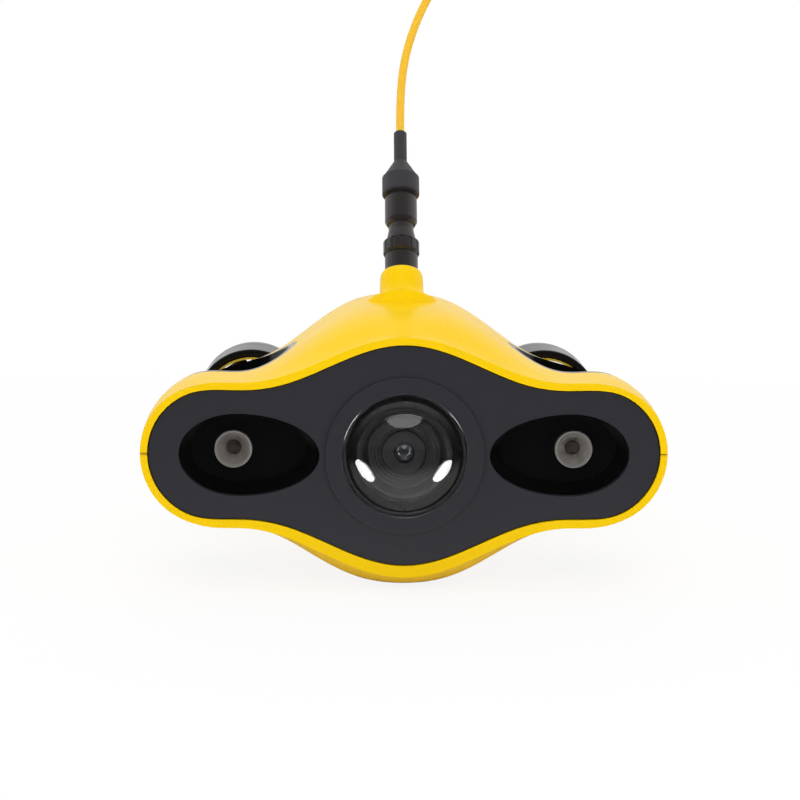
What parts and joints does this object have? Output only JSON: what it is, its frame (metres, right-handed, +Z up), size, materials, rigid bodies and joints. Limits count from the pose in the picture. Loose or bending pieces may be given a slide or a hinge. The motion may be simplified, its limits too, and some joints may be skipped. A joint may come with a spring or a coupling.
{
  "type": "underwater inspection rov",
  "caption": "Compact ray-shaped underwater inspection vehicle with shrouded thrusters, a bow camera port, two lights and a slanted tether connector on its back.",
  "frame": {"origin": "centre of the vehicle's box on the plane of its foot pads, without the tether", "axes": "+Y from bow to tail, +Z up, +X to the right when looking from the bow to the tail"},
  "size_m": [0.1882, 0.247, 0.2698],
  "materials": {
    "shell_yellow": "satin moulded",
    "face_charcoal": "satin",
    "gloss_black": "glossy",
    "clear_port": "polished clear",
    "satin_black": "satin",
    "moulded_rubber": "soft matte",
    "tether_jacket": "smooth jacket",
    "bright_metal": "fine satin",
    "hull_aluminium": "anodised",
    "steel": "brushed",
    "rotor_metal": "coated",
    "board_green": "solder mask",
    "battery_sleeve": "shrink sleeve"
  },
  "bodies": {
    "hull": {"upper_shell": "shell_yellow", "lower_shell": "shell_yellow", "face_plate": "face_charcoal", "camera_window": "clear_port", "notch_ring": "gloss_black", "camera_hood": "gloss_black", "camera_module": "satin_black", "camera_lens": "clear_port", "pressure_hull": "hull_aluminium", "window_o_ring": "moulded_rubber", "end_cap": "hull_aluminium", "cap_o_ring": "moulded_rubber", "cable_glands": "satin_black", "depth_sensor": "bright_metal", "electronics_tray": "hull_aluminium", "main_board": "board_green", "battery_pack": "battery_sleeve", "tether_socket": "satin_black", "plug_body": "satin_black", "strain_relief": "moulded_rubber", "tether": "tether_jacket", "far_plug": "moulded_rubber", "shell_screws": "steel", "foot_pads": "moulded_rubber", "ballast_bars": "steel", "left_light_cup": "gloss_black", "left_reflector": "bright_metal", "left_led_board": "board_green", "left_led_lens": "clear_port", "left_nozzle": "gloss_black", "left_horizontal_trim_ring": "bright_metal", "right_light_cup": "gloss_black", "right_reflector": "bright_metal", "right_led_board": "board_green", "right_led_lens": "clear_port", "right_nozzle": "gloss_black", "right_horizontal_trim_ring": "bright_metal", "left_vertical_stator": "steel", "left_vertical_liner": "gloss_black", "right_vertical_stator": "steel", "right_vertical_liner": "gloss_black", "tail_vertical_stator": "steel", "tail_vertical_liner": "gloss_black", "left_horizontal_stator": "steel", "right_horizontal_stator": "steel"},
    "left_vertical_drive": {"left_vertical_rotor": "rotor_metal", "left_vertical_propeller": "gloss_black"},
    "right_vertical_drive": {"right_vertical_rotor": "rotor_metal", "right_vertical_propeller": "gloss_black"},
    "tail_vertical_drive": {"tail_vertical_rotor": "rotor_metal", "tail_vertical_propeller": "gloss_black"},
    "left_horizontal_drive": {"left_horizontal_rotor": "rotor_metal", "left_horizontal_propeller": "gloss_black"},
    "right_horizontal_drive": {"right_horizontal_rotor": "rotor_metal", "right_horizontal_propeller": "gloss_black"},
    "collar": {"locking_collar": "satin_black"}
  },
  "joints": [
    {"name": "left_vertical_spin", "type": "hinge", "parent": "hull", "child": "left_vertical_drive", "pos_m": [-0.06, -0.075, 0.0536], "axis": [0, 0, 1], "continuous": true},
    {"name": "right_vertical_spin", "type": "hinge", "parent": "hull", "child": "right_vertical_drive", "pos_m": [0.06, -0.075, 0.0536], "axis": [0, 0, 1], "continuous": true},
    {"name": "tail_vertical_spin", "type": "hinge", "parent": "hull", "child": "tail_vertical_drive", "pos_m": [0, 0.092, 0.0536], "axis": [0, 0, 1], "continuous": true},
    {"name": "left_horizontal_spin", "type": "hinge", "parent": "hull", "child": "left_horizontal_drive", "pos_m": [-0.0585, 0.011, 0.0511], "axis": [0, -1, 0], "continuous": true},
    {"name": "right_horizontal_spin", "type": "hinge", "parent": "hull", "child": "right_horizontal_drive", "pos_m": [0.0585, 0.011, 0.0511], "axis": [0, -1, 0], "continuous": true},
    {"name": "collar_lock", "type": "hinge", "parent": "hull", "child": "collar", "pos_m": [0, -0.04937, 0.1171], "axis": [0, 0.5592, 0.829], "range_deg": [0, 60]}
  ]
}
